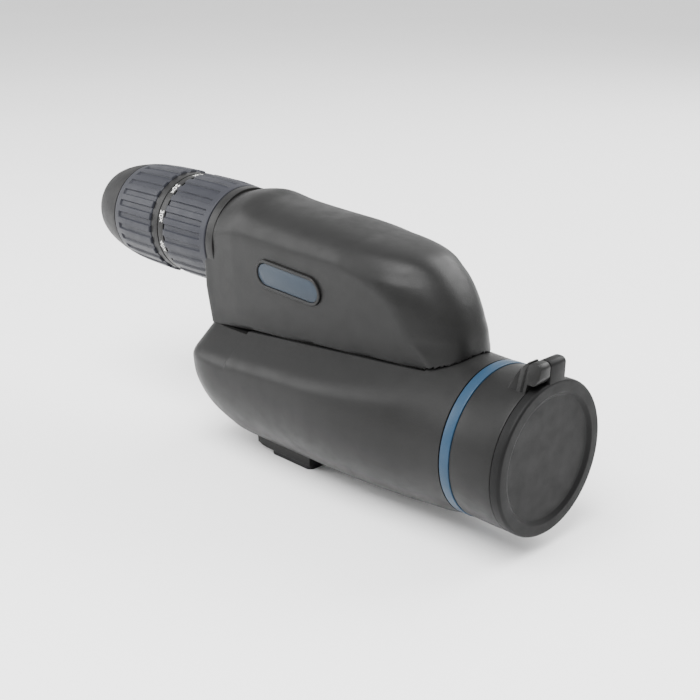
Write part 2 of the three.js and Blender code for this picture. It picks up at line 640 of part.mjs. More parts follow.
// A ribbed rubber grip: the outline is [x, radius at the bars], with `ribs` grooves cut along it.
function grip(outline, ribs, depth) {
  const [x0, x1] = [outline[0][0], outline[outline.length - 1][0]];
  let body = turned([[x0, GRIP_R], ...outline, [x1, GRIP_R]], EYE_Z, 52);
  const mid = (x0 + x1) / 2;
  const half = (x1 - x0) / 2;
  for (let i = 0; i < ribs; i++) {
    const a = (2 * Math.PI * (i + 0.5)) / ribs;
    const geometry = new THREE.BoxGeometry(2 * half - 5, 1.5, 6);
    geometry.translate(mid, 0, outline[1][1] - depth + 3);
    geometry.rotateX(a);
    geometry.translate(0, 0, EYE_Z);
    body = body.subtract(solid(geometry));
  }
  return body;
}
const RIBS = 26;
add(
  "zoom_ring",
  turned(
    [
      [SCALE.x0, SLEEVE_R], [SCALE.x0, SCALE.r], [SCALE.x1, SCALE.r], [SCALE.x1, GRIP_R - GAP],
      [COLLAR.x0 - GAP, GRIP_R - GAP], [COLLAR.x0 - GAP, SLEEVE_R],
    ],
    EYE_Z,
    36,
  ).subtract(upright(DRIVE.x, 0, EYE_Z, EYE_Z + 40, DRIVE.r + 0.1, 12)),
  "armour",
);
add("zoom_grip", grip([[-246.9, 28.3], [-245, 28.8], [-225, 28.7], [-210.7, 27.7]], RIBS, 1.1), "grip");
add("zoom_drive_screw", upright(DRIVE.x, 0, EYE_Z + 19.6, EYE_Z + 25.6, DRIVE.r, 12), "steel");
add(
  "focus_ring",
  turned(
    [
      [-293.5, 24.9], [-293.5, GRIP_R - GAP], [INDEX.x0 - GAP, GRIP_R - GAP], [INDEX.x0 - GAP, SLEEVE_R],
      [-283, SLEEVE_R], [-283, 24.9],
    ],
    EYE_Z,
    36,
  ),
  "armour",
);
add("focus_grip", grip([[-293.8, 27.5], [-286, 28.4], [-274, 29], [-258, 29.3]], RIBS, 1.1), "grip");

// Zoom group: a cam tube that turns with the zoom ring and two lens cells that it drives.
add(
  "zoom_cam_tube",
  tube(-279.5, -216, 20.1, 19.2, EYE_Z, 32)
    .subtract(sector(-276, -273.6, 20, 150, 40, EYE_Z))
    .subtract(sector(-246, -243.6, 200, 330, 40, EYE_Z))
    .subtract(upright(DRIVE.x, 0, EYE_Z, EYE_Z + 40, DRIVE.r + 0.1, 12)),
  "black_metal",
);
function lensCell(name, x, width, glassR) {
  add(
    `${name}_cell`,
    turned(
      [
        [x, glassR - 1.2], [x, 18.9], [x + width, 18.9], [x + width, glassR + GAP], [x + 1.4, glassR + GAP],
        [x + 1.4, glassR - 1.2],
      ],
      EYE_Z,
      28,
    ),
    "black_metal",
  );
  const face = (at, bow) => [0, 0.5, 1].map((t) => [at + bow * t * t, glassR * t]);
  const faces = [...face(x + width - 0.4, -1.6), ...face(x + 2, 1.2).reverse()];
  add(`${name}_lens`, turned(faces, EYE_Z, 24), "glass");
}
lensCell("zoom_front", -240, 7, 14);
lensCell("zoom_rear", -262, 7, 12);

// Eye group: moved along by the focus ring.
add(
  "eye_cell",
  turned([[-300.5, 15], [-300.5, 20.1], [-284, 20.1], [-284, 16.8], [-299, 16.8], [-299, 15]], EYE_Z, 32),
  "black_metal",
);
const lensDisc = (x, width, r, bow) =>
  turned(
    [
      ...[0, 0.5, 1].map((t) => [x - bow * (1 - t * t), r * t]),
      ...[1, 0.5, 0].map((t) => [x + width + bow * (1 - t * t), r * t]),
    ],
    EYE_Z,
    28,
  );
add("eye_lens", lensDisc(-298.6, 3, 16.5, 0), "glass");
add("field_lens", lensDisc(-291.5, 3, 16.5, 1.5), "glass");

// Eyecup: soft rubber on a sliding carrier that pulls out for use without glasses.
add("eyecup_carrier", tube(-303.8, -283.6, 24.6, SLEEVE_R, EYE_Z, 36), "black_metal");
add(
  "eyecup",
  turned(
    [
      [-294.1, 24.9], [-304.1, 24.9], [-304.1, 15.5], [-311, 16], [-318.2, 17.4], [-319.6, 18.4], [-319.2, 19.9],
      [-317, 21.4], [-313, 23.1], [-308, 24.7], [-302, 26.1], [-294.1, 27.5],
    ],
    EYE_Z,
    44,
  ),
  "cap",
);

export default scope;
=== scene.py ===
# Spotting scope: fine surfaces, finishes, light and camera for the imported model.
# Shapes are worked out in millimetres in the optical frame, where x = 0 is the front of the closed cap,
# x falls towards the eyepiece and z = 0 is the objective axis. to_row() moves them into the part's frame.
import math
import json

import bmesh
import bpy
import numpy as np
from mathutils import Matrix, Vector


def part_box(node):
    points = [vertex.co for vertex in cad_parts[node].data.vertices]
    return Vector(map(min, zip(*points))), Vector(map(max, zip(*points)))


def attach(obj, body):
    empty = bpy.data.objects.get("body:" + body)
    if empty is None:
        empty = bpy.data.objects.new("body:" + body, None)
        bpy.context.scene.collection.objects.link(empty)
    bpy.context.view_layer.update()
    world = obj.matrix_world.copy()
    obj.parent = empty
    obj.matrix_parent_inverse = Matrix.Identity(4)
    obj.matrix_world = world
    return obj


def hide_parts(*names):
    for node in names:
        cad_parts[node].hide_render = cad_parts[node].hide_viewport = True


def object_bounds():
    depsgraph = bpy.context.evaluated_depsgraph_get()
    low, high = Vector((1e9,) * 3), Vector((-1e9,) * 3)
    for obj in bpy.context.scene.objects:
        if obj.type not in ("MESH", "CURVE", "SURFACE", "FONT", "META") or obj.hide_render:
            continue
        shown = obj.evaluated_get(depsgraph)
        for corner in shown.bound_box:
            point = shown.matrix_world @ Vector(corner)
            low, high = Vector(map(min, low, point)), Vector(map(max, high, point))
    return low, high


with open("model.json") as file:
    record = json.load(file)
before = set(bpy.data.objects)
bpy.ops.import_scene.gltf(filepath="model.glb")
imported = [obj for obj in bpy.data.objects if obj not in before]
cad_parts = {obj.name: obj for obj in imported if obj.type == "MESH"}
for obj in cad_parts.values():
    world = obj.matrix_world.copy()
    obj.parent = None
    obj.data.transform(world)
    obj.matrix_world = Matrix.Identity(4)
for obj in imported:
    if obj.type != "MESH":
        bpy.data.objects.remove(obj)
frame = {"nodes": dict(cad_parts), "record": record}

MM = 0.001
cad_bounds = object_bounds()

# ---------- places taken from the frame ----------
ring_low, ring_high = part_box("accent_ring")
zoom_low, zoom_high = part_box("zoom_ring")
CAP_FRONT = 28.2  # the accent ring's front end is this far behind the cap's face
ORIGIN = Vector((ring_high.x + CAP_FRONT * MM, 0.0, (ring_low.z + ring_high.z) / 2))
EYE_Z = ((zoom_low.z + zoom_high.z) / 2 - ORIGIN.z) / MM


def along(node):
    """The x span of a CAD node in the optical frame, rear end first."""
    low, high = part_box(node)
    return (low.x - ORIGIN.x) / MM, (high.x - ORIGIN.x) / MM


def to_row(points):
    return np.asarray(points, dtype=float) * MM + np.array(ORIGIN)


# ---------- small numeric helpers ----------
def profile(pairs):
    """A smooth curve through (at, value) pairs that never overshoots them."""
    xs, ys = (np.array(v, dtype=float) for v in zip(*pairs))
    h = np.diff(xs)
    slope = np.diff(ys) / h
    tangent = np.empty_like(ys)
    tangent[0], tangent[-1] = slope[0], slope[-1]
    product = slope[:-1] * slope[1:]
    total = slope[:-1] + slope[1:]
    tangent[1:-1] = np.where(product > 0, 2 * product / np.where(product > 0, total, 1), 0)

    def at(x):
        x = np.clip(np.asarray(x, dtype=float), xs[0], xs[-1])
        i = np.clip(np.searchsorted(xs, x, side="right") - 1, 0, len(h) - 1)
        t = (x - xs[i]) / h[i]
        return (
            ys[i] * (1 + 2 * t) * (1 - t) ** 2
            + h[i] * tangent[i] * t * (1 - t) ** 2
            + ys[i + 1] * t * t * (3 - 2 * t)
            + h[i] * tangent[i + 1] * t * t * (t - 1)
        )

    return at


def soft_min(a, b, k):
    h = np.clip(0.5 + 0.5 * (b - a) / k, 0, 1)
    return b * (1 - h) + a * h - k * h * (1 - h)


def soft_max(a, b, k):
    return -soft_min(-a, -b, k)


def smooth_step(x, start, end):
    t = np.clip((np.asarray(x, dtype=float) - start) / (end - start), 0, 1)
    return t * t * (3 - 2 * t)


# ---------- mesh helpers ----------
def finish_mesh(name, vertices, faces, sharp=35):
    mesh = bpy.data.meshes.new(name)
    mesh.from_pydata([tuple(v) for v in vertices], [], faces)
    mesh.validate()
    editor = bmesh.new()
    editor.from_mesh(mesh)
    bmesh.ops.recalc_face_normals(editor, faces=editor.faces)
    editor.to_mesh(mesh)
    editor.free()
    mesh.shade_smooth()
    mesh.set_sharp_from_angle(angle=math.radians(sharp))
    piece = bpy.data.objects.new(name, mesh)
    bpy.context.scene.collection.objects.link(piece)
    return piece


def skinned(name, rings, sharp=35, loop=False):
    """A closed surface through rings of points; the ends are closed, or joined when loop is true."""
    rings = np.asarray(rings, dtype=float)
    count, n = rings.shape[:2]
    faces = []
    for i in range(count if loop else count - 1):
        a, b = i * n, ((i + 1) % count) * n
        faces += [(a + j, a + (j + 1) % n, b + (j + 1) % n, b + j) for j in range(n)]
    if not loop:
        faces += [tuple(range(n)), tuple(range((count - 1) * n, count * n))]
    return finish_mesh(name, to_row(rings.reshape(-1, 3)), faces, sharp)


def softened(outline, radius, steps=4):
    """A closed outline with each corner rounded; a corner may bring its own radius as a third number."""
    points = [np.array(p[:2], dtype=float) for p in outline]
    radii = [p[2] if len(p) > 2 else radius for p in outline]
    result = []
    for i, point in enumerate(points):
        before, after = points[i - 1] - point, points[(i + 1) % len(points)] - point
        reach = min(radii[i], 0.45 * np.hypot(*before), 0.45 * np.hypot(*after))
        if reach < 1e-3:
            result.append(point)
            continue
        start = point + before / np.hypot(*before) * reach
        end = point + after / np.hypot(*after) * reach
        for t in np.linspace(0, 1, steps + 1):
            result.append((1 - t) ** 2 * start + 2 * t * (1 - t) * point + t * t * end)
    return np.array(result)


def around(x, r, angles, z=0.0):
    """Points at radius r from a line along X at height z; each of x and r may be one value or many."""
    return np.column_stack([x + 0 * angles, r * np.cos(angles), z + r * np.sin(angles)])


def turned(name, outline, z=0.0, radius=0.3, segments=160, sharp=35):
    """A closed outline of (x, r) points turned about the X axis at height z."""
    angles = np.linspace(0, 2 * math.pi, segments, endpoint=False)
    rings = [around(x, r, angles, z) for x, r in softened(outline, radius)]
    return skinned(name, rings, sharp, loop=True)


def prism(name, outline, y0, y1, radius=0.6, edge=0.5, reshape=None):
    """A side outline of (x, z) points made solid from y0 to y1, with rounded long edges."""
    line = softened(outline, radius)
    middle = line.mean(axis=0)
    rings = []
    bevel = 0.3 * edge
    near = [(y0, edge), (y0 + bevel, bevel), (y0 + edge, 0)]
    far = [(y1 - edge, 0), (y1 - bevel, bevel), (y1, edge)]
    for y, inset in near + far:
        span = np.hypot(*(line - middle).T)
        shrunk = middle + (line - middle) * (1 - inset / span)[:, None]
        rings.append(np.column_stack([shrunk[:, 0], np.full(len(line), y), shrunk[:, 1]]))
    rings = np.array(rings)
    if reshape:
        rings = reshape(rings)
    return skinned(name, rings)


# ---------- finishes ----------
class Finish:
    """A principled material whose colour, roughness and bump come from layered noise."""

    def __init__(self, name, colour, roughness, metallic=0.0, **constants):
        self.material = bpy.data.materials.new(name)
        self.material.use_nodes = True
        self.nodes = self.material.node_tree.nodes
        self.links = self.material.node_tree.links
        self.shader = self.nodes["Principled BSDF"]
        self.shader.inputs["Metallic"].default_value = metallic
        for key, value in constants.items():
            self.shader.inputs[key.replace("_", " ")].default_value = value
        self.where = self.nodes.new("ShaderNodeTexCoord").outputs["Object"]
        self.colour = colour
        self.roughness = roughness
        self.height = None

    def noise(self, scale, detail=3.0, stretch=(1, 1, 1), rough=0.5):
        mapping = self.nodes.new("ShaderNodeMapping")
        mapping.inputs["Scale"].default_value = stretch
        self.links.new(self.where, mapping.inputs["Vector"])
        texture = self.nodes.new("ShaderNodeTexNoise")
        texture.inputs["Scale"].default_value = scale
        texture.inputs["Detail"].default_value = detail
        texture.inputs["Roughness"].default_value = rough
        self.links.new(mapping.outputs["Vector"], texture.inputs["Vector"])
        return texture.outputs["Fac"]

    def spread(self, source, low, high, contrast=(0.3, 0.7)):
        ranged = self.nodes.new("ShaderNodeMapRange")
        ranged.inputs["From Min"].default_value, ranged.inputs["From Max"].default_value = contrast
        ranged.inputs["To Min"].default_value, ranged.inputs["To Max"].default_value = low, high
        self.links.new(source, ranged.inputs["Value"])
        return ranged.outputs["Result"]

    def mottle(self, source, amount):
        """Colour that drifts by the given fraction either side of the base."""
        mix = self.nodes.new("ShaderNodeMix")
        mix.data_type = "RGBA"
        mix.inputs["A"].default_value = (*[c * (1 - amount) for c in self.colour], 1)
        mix.inputs["B"].default_value = (*[min(1, c * (1 + amount)) for c in self.colour], 1)
        self.links.new(self.spread(source, 0, 1), mix.inputs["Factor"])
        self.links.new(mix.outputs["Result"], self.shader.inputs["Base Color"])

    def gloss(self, source, drift):
        value = self.spread(source, self.roughness - drift, self.roughness + drift)
        self.links.new(value, self.shader.inputs["Roughness"])

    def bump(self, source, depth_mm, strength=1.0):
        node = self.nodes.new("ShaderNodeBump")
        node.inputs["Distance"].default_value = depth_mm * MM
        node.inputs["Strength"].default_value = strength
        self.links.new(source, node.inputs["Height"])
        if self.height is not None:
            self.links.new(self.height, node.inputs["Normal"])
        self.height = node.outputs["Normal"]
        self.links.new(self.height, self.shader.inputs["Normal"])


def moulded(name, colour, roughness, pebble=0.05, grain=2200, **constants):
    """Rubber armour or moulded plastic: a fine pebbled skin with faint handling marks."""
    finish = Finish(name, colour, roughness, **constants)
    broad = finish.noise(45, 4)
    finish.mottle(broad, 0.04)
    finish.gloss(finish.noise(120, 5), 0.06)
    finish.bump(finish.noise(grain, 2, rough=0.6), pebble)
    finish.bump(finish.noise(grain / 7, 2), pebble * 0.6)
    return finish.material


def metallic(name, colour, roughness, stretch=(1, 14, 14), metalness=1.0, **constants):
    """Machined metal: fine marks that run round the part."""
    finish = Finish(name, colour, roughness, metalness, **constants)
    finish.mottle(finish.noise(60, 4), 0.06)
    finish.gloss(finish.noise(900, 4, stretch=stretch), 0.07)
    finish.bump(finish.noise(1500, 3, stretch=stretch), 0.01)
    return finish.material


def painted(name, colour, roughness):
    """The same marks under a satin paint."""
    return metallic(name, colour, roughness, metalness=0.0, Specular_IOR_Level=0.2)


def glass(name, tint, coat_tint):
    finish = Finish(name, tint, 0.04, 0.0, Transmission_Weight=0.9, IOR=1.52, Coat_Weight=0.4,
                    Coat_Tint=(*coat_tint, 1))
    finish.mottle(finish.noise(30, 2), 0.03)
    finish.gloss(finish.noise(400, 4), 0.015)
    finish.bump(finish.noise(700, 2), 0.001)
    return finish.material


FINISHES = {
    "armour": moulded("armour_rubber", (0.0076, 0.0076, 0.0075), 0.4, Specular_IOR_Level=0.17),
    "bell_armour": moulded("bell_rubber", (0.0066, 0.0066, 0.0065), 0.42, Specular_IOR_Level=0.17),
    "band_metal": moulded("band_paint", (0.0092, 0.0092, 0.0092), 0.4, 0.02, Specular_IOR_Level=0.17),
    "grip_rubber": moulded("grip_rubber", (0.016, 0.0168, 0.022), 0.46, 0.03, Specular_IOR_Level=0.2),
    "eyecup_rubber": moulded("eyecup_rubber", (0.0065, 0.0065, 0.0068), 0.5, Specular_IOR_Level=0.17),
    "cap_plastic": moulded("cap_plastic", (0.0042, 0.0042, 0.0043), 0.5, 0.03, Specular_IOR_Level=0.12),
    "liner_foam": moulded("liner_foam", (0.01, 0.01, 0.01), 0.9, 0.12, 900),
    "accent_blue": painted("accent_paint", (0.0115, 0.033, 0.062), 0.34),
    "bezel_metal": painted("bezel_paint", (0.006, 0.006, 0.006), 0.4),
    "badge_face": painted("badge_paint", (0.023, 0.032, 0.044), 0.4),
    "foot_metal": metallic("foot_anodised", (0.03, 0.03, 0.031), 0.42, (1, 1, 14)),
    "screw_steel": metallic("screw_steel", (0.45, 0.45, 0.46), 0.3),
    "insert_brass": metallic("insert_brass", (0.62, 0.45, 0.18), 0.3),
    "inner_black": metallic("inner_anodised", (0.025, 0.025, 0.026), 0.5),
    "coated_glass": glass("coated_glass", (0.75, 0.9, 0.85), (0.6, 1.0, 0.8)),
    "prism_glass": glass("prism_glass", (0.9, 0.95, 0.95), (0.9, 0.9, 1.0)),
}
NUMERAL_PAINT = moulded("numeral_paint", (0.62, 0.62, 0.6), 0.5, 0.01)
SLOT_OF = {entry["node"]: entry["material_slot"] for entry in frame["record"]["subparts"]}
BODY_OF = {node: body for body, nodes in frame["record"]["behaviour"]["bodies"].items() for node in nodes}

for node, holder in frame["nodes"].items():
    for slot in holder.material_slots:
        slot.material = FINISHES[SLOT_OF[node]]


def belongs_to(piece, node, finish=None):
    """A detail that rides with a CAD node and has its finish, or its own."""
    piece.data.materials.append(finish or FINISHES[SLOT_OF[node]])
    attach(piece, BODY_OF[node])


def stands_for(piece, node):
    """The piece rides and looks as the CAD node does, and is shown instead of it."""
    belongs_to(piece, node)
    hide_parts(node)


# ---------- housings ----------
DECK_FRONT = (-53, 32, 20)  # x, z and the upper housing's half width there
DECK_BACK = (-210, 20, 25)
LEDGE = 1.5  # how far the deck reaches past the upper housing's side
NOSE_STEP_X = -58  # the deck ends here; ahead of it the barrel is round on top
GAP = 0.3


def deck_z(x):
    slope = (DECK_FRONT[1] - DECK_BACK[1]) / (DECK_FRONT[0] - DECK_BACK[0])
    return DECK_FRONT[1] + (x - DECK_FRONT[0]) * slope


def waist(x):
    return np.interp(x, [DECK_BACK[0], DECK_FRONT[0]], [DECK_BACK[2], DECK_FRONT[2]])


# The lower housing's radius, and how much fuller its underside is.
barrel_r = profile([
    (-230, 43.2), (-121, 43.2), (-103, 42.7), (-86, 41.6), (-70, 40.2), (-55, 38.6), (-44, 37.8),
    (-34, 37.4),
])
belly = profile([(-170, 0.5), (-123, 0.6), (-100, 0.9), (-78, 1.5), (-60, 2.2), (-46, 2.1), (-34, 0.4)])
foot_depth = profile([(-190, 20), (-187, 35.3), (-182, 39.9), (-175.8, 42.9), (-171, 43.7), (-137, 43.7)])
FOOT_HALF_WIDTH, FOOT_FRONT_X = 20.5, -137
STERN_X, STERN_LENGTH = -224, 46
# How square the stern is, by direction in degrees, and how far back it reaches, by height.
stern_power = profile([(-90, 2), (-45, 2.03), (-30, 2.5), (-17, 3), (0, 4), (12, 4.6), (90, 5)])
stern_reach = profile([(-43, 1), (-26, 0.99), (-10, 0.92), (4, 0.86), (40, 0.86)])
STERN_SECTION_X = -200  # the stern tapers the cross section that the housing has here
SHOULDER_FALL, SHOULDER_ROUND = 0.78, 3
STEEP = 0.05  # directions flatter than this never reach the deck or the shoulder


def lower_r(x, a):
    """Radius of the lower housing about the objective axis, without its deck."""
    c, s = np.abs(np.cos(a)), np.sin(a)
    r = barrel_r(x) + belly(x) * np.minimum(s, 0) ** 2
    fall = s + c * SHOULDER_FALL
    shoulder = (deck_z(x) + (waist(x) + LEDGE) * SHOULDER_FALL) / np.maximum(fall, STEEP)
    r = np.where(fall > STEEP, soft_min(r, np.minimum(shoulder, r + 40), SHOULDER_ROUND), r)
    below = (s < 0) & (x <= FOOT_FRONT_X)
    foot = np.minimum(FOOT_HALF_WIDTH / np.maximum(c, 1e-6), foot_depth(x) / np.maximum(-s, 1e-6))
    return np.where(below, soft_max(r, np.minimum(foot, r + 30), 0.8), r)


def lower_housing():
    """Rings about the objective axis, each with the same number of points below and on the deck."""
    def radius(at, a, share):
        """The radius where the stern has used up the given share of its length."""
        power = stern_power(np.degrees(np.arcsin(np.sin(a))))
        return lower_r(at, a) * (1 - share ** power) ** (1 / power)

    def deck_edge(at, share):
        """The direction in which the side meets the flat deck."""
        below, above = STEEP, 0.5 * math.pi - 0.02
        for _ in range(24):
            a = (below + above) / 2
            if radius(at, a, share) * math.sin(a) < deck_z(at):
                below = a
            else:
                above = a
        return above

    def angles(edge):
        """Directions all round, closer together at the foot's corners."""
        corner, near = -math.atan2(foot_depth(FOOT_FRONT_X), FOOT_HALF_WIDTH), 0.06
        low = np.concatenate([
            np.linspace(-math.pi / 2, corner - near, 18, endpoint=False),
            np.linspace(corner - near, corner + near, 13, endpoint=False),
            np.linspace(corner + near, edge, 64, endpoint=False),
        ])
        right = np.concatenate([low, np.linspace(edge, math.pi / 2, 22)])
        return np.concatenate([right, math.pi - right[-2:0:-1]])

    def ring(x, at, share=0.0, scale=1.0):
        decked = at < NOSE_STEP_X
        a = angles(deck_edge(at, share) if decked else math.atan2(deck_z(at), waist(at) + LEDGE))
        r = radius(at, a, share) * scale
        if decked:
            rising = np.sin(a) > STEEP
            r = np.where(rising, np.minimum(r, deck_z(at) / np.maximum(np.sin(a), STEEP)), r)
        back = STERN_LENGTH * share * stern_reach(r * np.sin(a))
        return around(x - back, r, a)

    stern = STERN_X + STERN_LENGTH
    rings = []
    for turn in np.linspace(0.5 * math.pi - 0.012, 0.02, 56):
        rings.append(ring(stern, STERN_SECTION_X, math.sin(turn)))
    front = along("lower_housing")[1]
    stations = np.concatenate([
        np.linspace(stern, FOOT_FRONT_X, 40), [FOOT_FRONT_X + 0.3],
        np.linspace(FOOT_FRONT_X + 3, NOSE_STEP_X - 0.01, 50),
        np.linspace(NOSE_STEP_X + 0.01, front - 0.5, 24), [front - 0.15],
    ])
    rings += [ring(x, x) for x in stations]
    rings.append(ring(front, front, scale=0.99))
    return skinned("lower_armour", rings, sharp=28)


# Height of the upper housing's crown above the eyepiece axis.
top_rise = profile([
    (-214, 25.6), (-204, 26.1), (-195, 28.3), (-187, 29.2), (-176, 27.2), (-166, 26.1), (-155, 25.4),
    (-137, 24.5), (-102, 23.1), (-80, 22.3), (-40, 22.3),
])
SIDE_TOP = 6  # the side walls are widest this far above the eyepiece axis
CROWN_SCALE = 28  # turns the crown's relative distance into millimetres
CORE_X, CORE_Z = -88, 55  # the upper housing is star shaped about this line and its front end
RAKE, RAKE_Z, RAKE_END_X = 0.2, 40, -200  # the rear face leans forward below RAKE_Z
# The nose, by height: where its tip is, how far behind that it meets the side walls, how blunt it is
# and how softly it blends into them.
nose_tip = profile([
    (30, -43.8), (38, -44.1), (45, -45.1), (53, -47.3), (59, -50), (64, -53.2), (69, -57.2), (74, -62.3),
    (78, -68), (81, -74.5), (83.5, -84), (85.2, -94), (86.7, -106), (88.2, -120), (91, -145),
])
nose_depth = profile([(30, 9), (38, 15), (45, 21), (53, 23.3), (61, 24.2), (69, 27), (74, 32), (90, 34)])
nose_power = profile([(30, 3.4), (45, 3.3), (53, 2.8), (61, 2.6), (90, 2.6)])
nose_round = profile([(30, 0.5), (60, 1.5), (70, 5), (78, 9), (90, 10)])


def side_width(x):
    return np.interp(x, [-206, -188], [26.9, 28])


def wall_width(x, z):
    """Half width of the upper housing between its two flat side walls."""
    lean = (side_width(x) - waist(x)) / (EYE_Z + SIDE_TOP - deck_z(x))
    return side_width(x) - lean * (EYE_Z + SIDE_TOP - z)


def upper_outside(x, y, z):
    """Roughly how many millimetres a point is outside the upper housing's skin; negative inside."""
    side = np.abs(y)
    wall = side - wall_width(x, z)
    blend = np.interp(x, [-206, -178], [0, 1])
    power = 2 + 0.5 * blend
    over = np.maximum(z - EYE_Z, 0) / top_rise(x)
    reach = ((side / (side_width(x) + 0.2 + blend)) ** power + over ** power) ** (1 / power)
    body = soft_max(wall, CROWN_SCALE * (reach - 1), 1.2)
    width, depth, bluntness = wall_width(np.maximum(x, -100), z), nose_depth(z), nose_power(z)
    share = side / width
    slope_y = bluntness * depth * share ** (bluntness - 1) / width
    slope_z = nose_tip(z + 0.5) - nose_tip(z - 0.5)
    nose = (x - nose_tip(z) + depth * share ** bluntness) / np.sqrt(1 + slope_y ** 2 + slope_z ** 2)
    blending = np.interp(x, [-135, -105], [0.01, 1])
    skin = soft_max(body, nose, nose_round(z) * blending)
    under = deck_z(x) + GAP - z
    barrel = np.where(x > NOSE_STEP_X, barrel_r(x) + GAP - np.hypot(y, z), -30)
    return np.maximum(np.maximum(skin, under), barrel)


def upper_housing():
    """Points found along rays from the core line, and from its front end round the nose."""
    columns = np.linspace(0, 2 * math.pi, 240, endpoint=False)
    back, front = along("upper_housing")[0], CORE_X
    edge, longest_ray = 2.0, 140.0
    origins, directions, insets = [], [], []

    def ring(x, cosine, sine, inset=0.0):
        origins.append(np.tile([x, 0, CORE_Z], (len(columns), 1)))
        directions.append(np.column_stack([
            np.full(len(columns), cosine), sine * np.cos(columns), sine * np.sin(columns),
        ]))
        insets.append(np.full(len(columns), inset))

    for t in np.linspace(math.pi / 2, 0, 6):
        ring(back + edge * (1 - math.sin(t)), 0, 1, edge * (1 - math.cos(t)))
    for x in np.linspace(back + edge, front, 80)[1:]:
        ring(x, 0, 1)
    for t in np.linspace(math.pi / 2, 0.012, 72)[1:]:
        ring(front, math.cos(t), math.sin(t))
    start, way = np.array(origins), np.array(directions)
    inside, outside = np.zeros(start.shape[:2]), np.full(start.shape[:2], longest_ray)
    for _ in range(34):
        middle = (inside + outside) / 2
        x, y, z = np.moveaxis(start + way * middle[..., None], 2, 0)
        within = upper_outside(x, y, z) < 0
        inside = np.where(within, middle, inside)
        outside = np.where(within, outside, middle)
    reach = inside - np.array(insets)
    rings = start + way * reach[..., None]
    fade = np.interp(rings[..., 0], [back, RAKE_END_X], [1, 0])
    rings[..., 0] += RAKE * np.maximum(RAKE_Z - rings[..., 2], 0) * fade
    return skinned("upper_armour", rings, sharp=32)


stands_for(lower_housing(), "lower_housing")
stands_for(upper_housing(), "upper_housing")

# ---------- objective end ----------
BORE_R, BAND_R = 33.9, 37.6
band_back, band_front = along("accent_ring")
band_outline = [(band_back, BORE_R), (band_back, BAND_R), (band_front, BAND_R), (band_front, BORE_R)]
stands_for(turned("accent_band", band_outline, radius=0.45), "accent_ring")
SEAM_X = -4.9
BELL_BACK_X = -27.9
bell_outline = [
    (BELL_BACK_X, BORE_R), (BELL_BACK_X, 37.2), (-15, 37.4, 6), (SEAM_X, 37.3, 0.6), (SEAM_X, BORE_R),
]
stands_for(turned("bell_shell", bell_outline, radius=0.35), "objective_bell")

PIN_X, PIN_Z = -3.4, 42.6
KNUCKLE_R = 4.9
KNUCKLE_TOP = PIN_Z + KNUCKLE_R
KNUCKLE_LEFT, KNUCKLE_SPLIT, KNUCKLE_RIGHT = -11, -4.6, 6.8
KNUCKLE_FRONT_X = PIN_X + 3.7
FLARE_HEIGHT = 17.5


def flared(rings):
    """Leans a block's two side faces outwards towards its base."""
    low = np.clip((KNUCKLE_TOP - rings[..., 2]) / FLARE_HEIGHT, 0, 1)
    y = rings[..., 1]
    left, right = 5.4 * smooth_step(-y, 7, 10.4), 5.6 * smooth_step(y, 5, 6.6)
    y = y + low * (right - left)
    return np.stack([rings[..., 0], y, rings[..., 2]], axis=-1)


def knuckle_outline(sweep_deg, foot):
    """Round behind the pin down to the given angle, then its foot and a square front."""
    around = np.radians(np.linspace(90, sweep_deg, 15))
    back = [(PIN_X + KNUCKLE_R * math.cos(a), PIN_Z + KNUCKLE_R * math.sin(a), 0) for a in around]
    return [*back, *foot, (KNUCKLE_FRONT_X, PIN_Z + 3.3, 1.0), (PIN_X + 2.1, KNUCKLE_TOP - 0.1, 1.0)]


fixed_foot = [
    (PIN_X - KNUCKLE_R, 34), (-5.1, 34), (-5.1, 37.9, 0.2), (-1.6, 37.9, 0.5), (KNUCKLE_FRONT_X, 41, 0.8),
]
belongs_to(
    prism("hinge_knuckle", knuckle_outline(180, fixed_foot), KNUCKLE_LEFT, KNUCKLE_SPLIT, reshape=flared),
    "objective_bell",
)
fairing_side = [(-16, 31), (-13.5, 38, 3), (-9.9, 45.0, 2), (-9.7, 31)]
belongs_to(
    prism("hinge_fairing", fairing_side, KNUCKLE_LEFT, KNUCKLE_RIGHT, reshape=flared), "objective_bell",
)
shoulder_side = [(-10.4, 31), (-10.4, 43.9, 0.5), (-7.2, 47.3, 1.5), (-6.4, 47.3, 1), (-6.4, 31)]
belongs_to(
    prism("hinge_shoulder", shoulder_side, KNUCKLE_LEFT, KNUCKLE_SPLIT, reshape=flared), "objective_bell",
)

cap_outline = [
    (0.3, 35.0, 0.5), (0.3, 31.4, 0.5), (-1.2, 29.8, 0.6), (-1.2, 0.02, 0), (-3, 0.02, 0), (-3, 31),
    (-7, 31.5), (-7, 33.2), (SEAM_X + GAP, 33.4), (SEAM_X + GAP, 37.4, 0.3), (-0.6, 37.4, 0.6),
    (0.3, 36.6, 0.6),
]
stands_for(turned("cap_cover", cap_outline, radius=0.4), "flip_cap")
cap_foot = [(SEAM_X + GAP, 37.5, 0), (SEAM_X + GAP, 35), (0.0, 35)]
belongs_to(
    prism("cap_knuckle", knuckle_outline(250, cap_foot), KNUCKLE_SPLIT + GAP, KNUCKLE_RIGHT), "flip_cap",
)

# ---------- badge ----------
BADGE_X, BADGE_Z, BADGE_TILT = -145.4, 56.6, 0.061
BADGE_HALF_LENGTH, BADGE_HALF_HEIGHT, BADGE_RIM = 23.5, 7.8, 1.8


